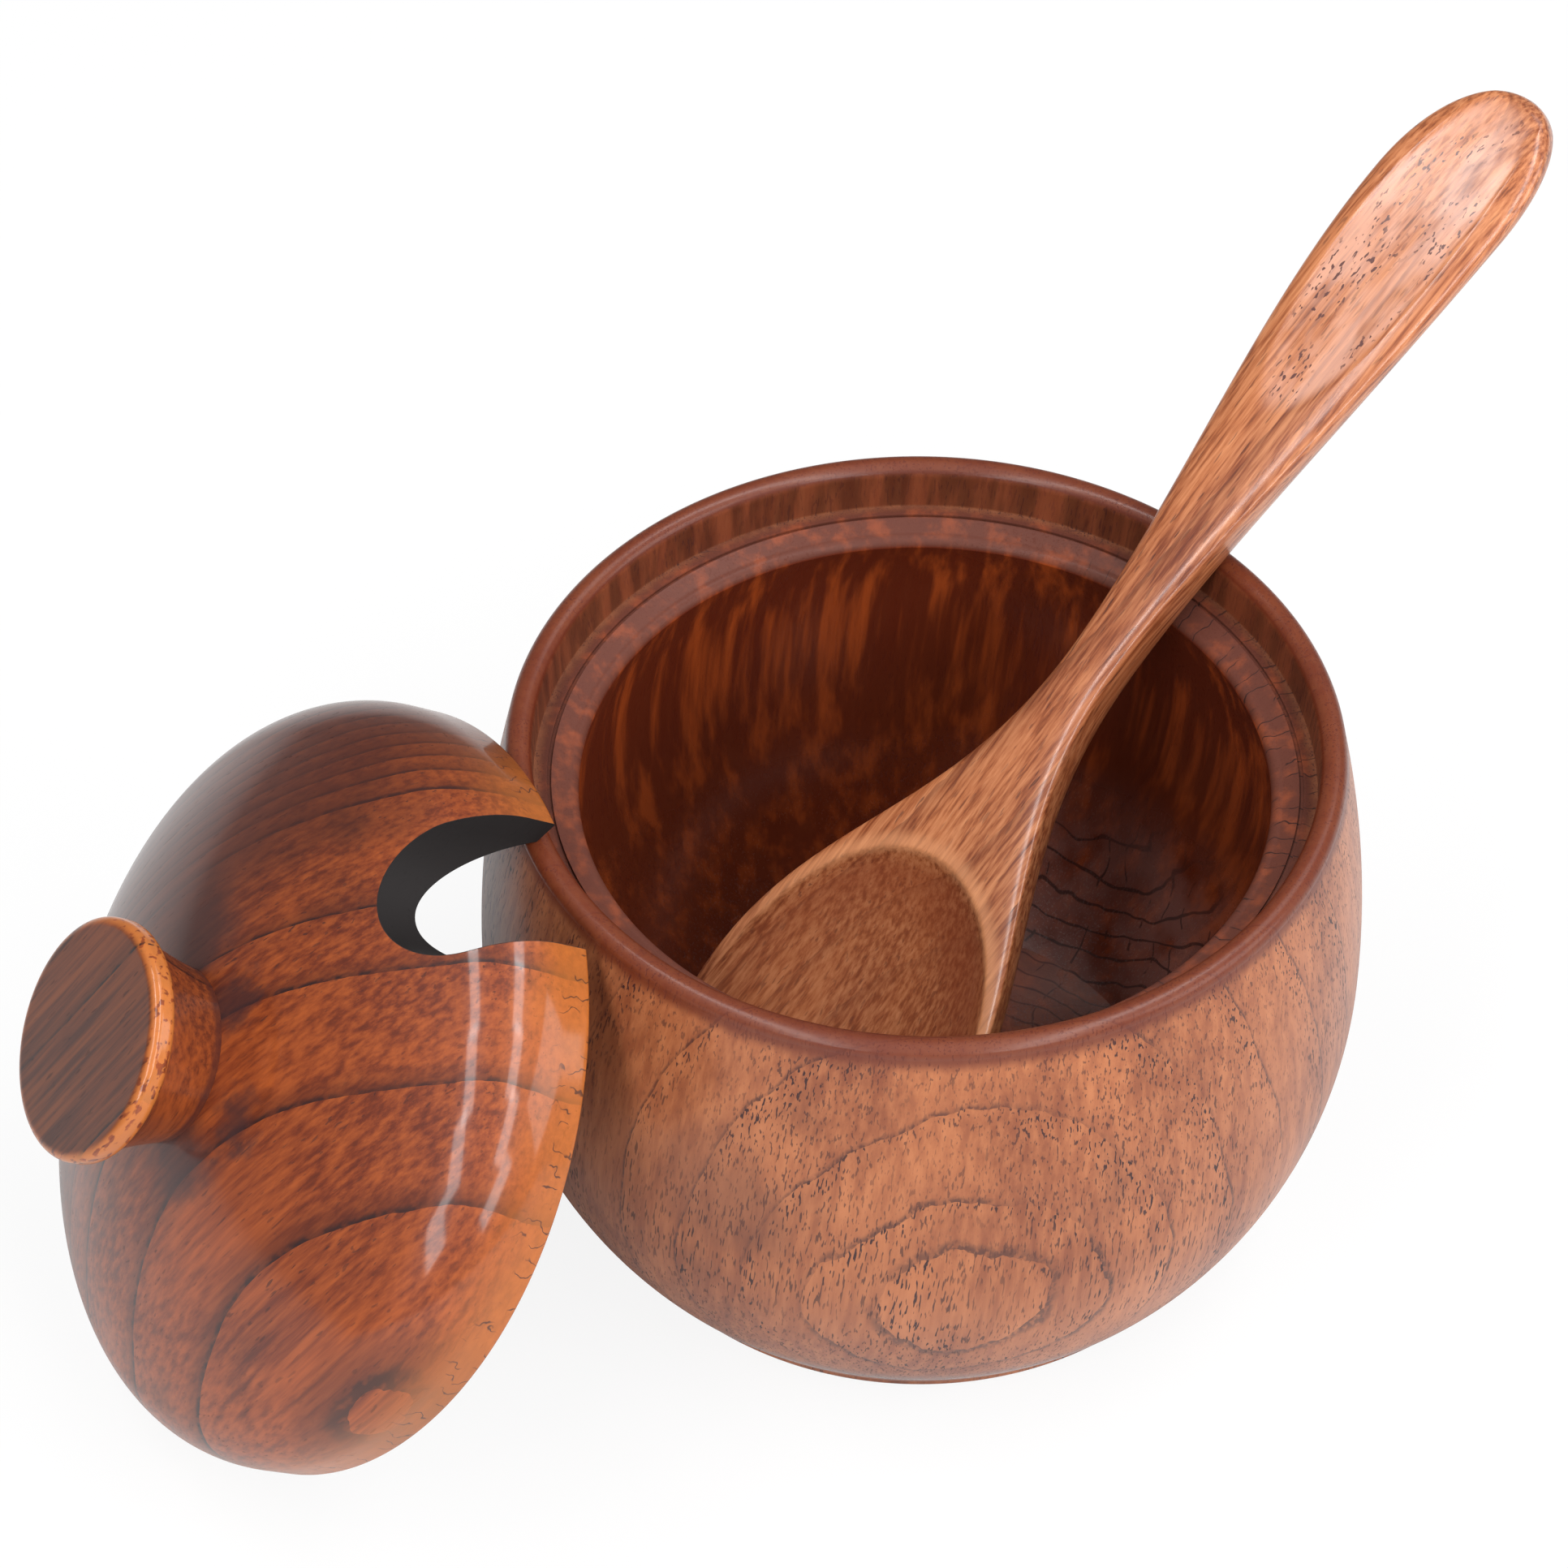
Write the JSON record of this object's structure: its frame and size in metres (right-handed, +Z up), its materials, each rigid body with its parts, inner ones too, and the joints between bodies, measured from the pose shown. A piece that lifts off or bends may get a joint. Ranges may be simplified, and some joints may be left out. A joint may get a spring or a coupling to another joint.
{
  "type": "salt pot with lid and spoon",
  "caption": "Turned wooden salt pot with a rounded belly, a loose domed lid with a knob and a spoon notch leaning beside it, and a carved wooden spoon standing in it.",
  "frame": {"origin": "centre of the pot's foot, on the surface that the pot stands on", "axes": "+Z up along the pot's axis, +X to the viewer's right and +Y away from the viewer; the lid leans at the front left and the spoon leans to the back right"},
  "size_m": [0.1692, 0.1299, 0.1085],
  "materials": {
    "pot_wood": "clear varnish over stained wood",
    "lid_wood": "glossy varnish over stained wood",
    "knob_wood": "glossy varnish over stained wood",
    "spoon_wood": "satin varnish"
  },
  "bodies": {
    "pot": {"bowl": "pot_wood"},
    "cover": {"lid": "lid_wood", "knob": "knob_wood"},
    "spoon": {"spoon": "spoon_wood"}
  },
  "joints": [
    {"name": "lid_lift", "type": "slide", "parent": "pot", "child": "cover", "axis": [0, 0, 1], "range_m": [0, 0.1]},
    {"name": "spoon_lift", "type": "slide", "parent": "pot", "child": "spoon", "axis": [0, 0, 1], "range_m": [0, 0.1]}
  ]
}
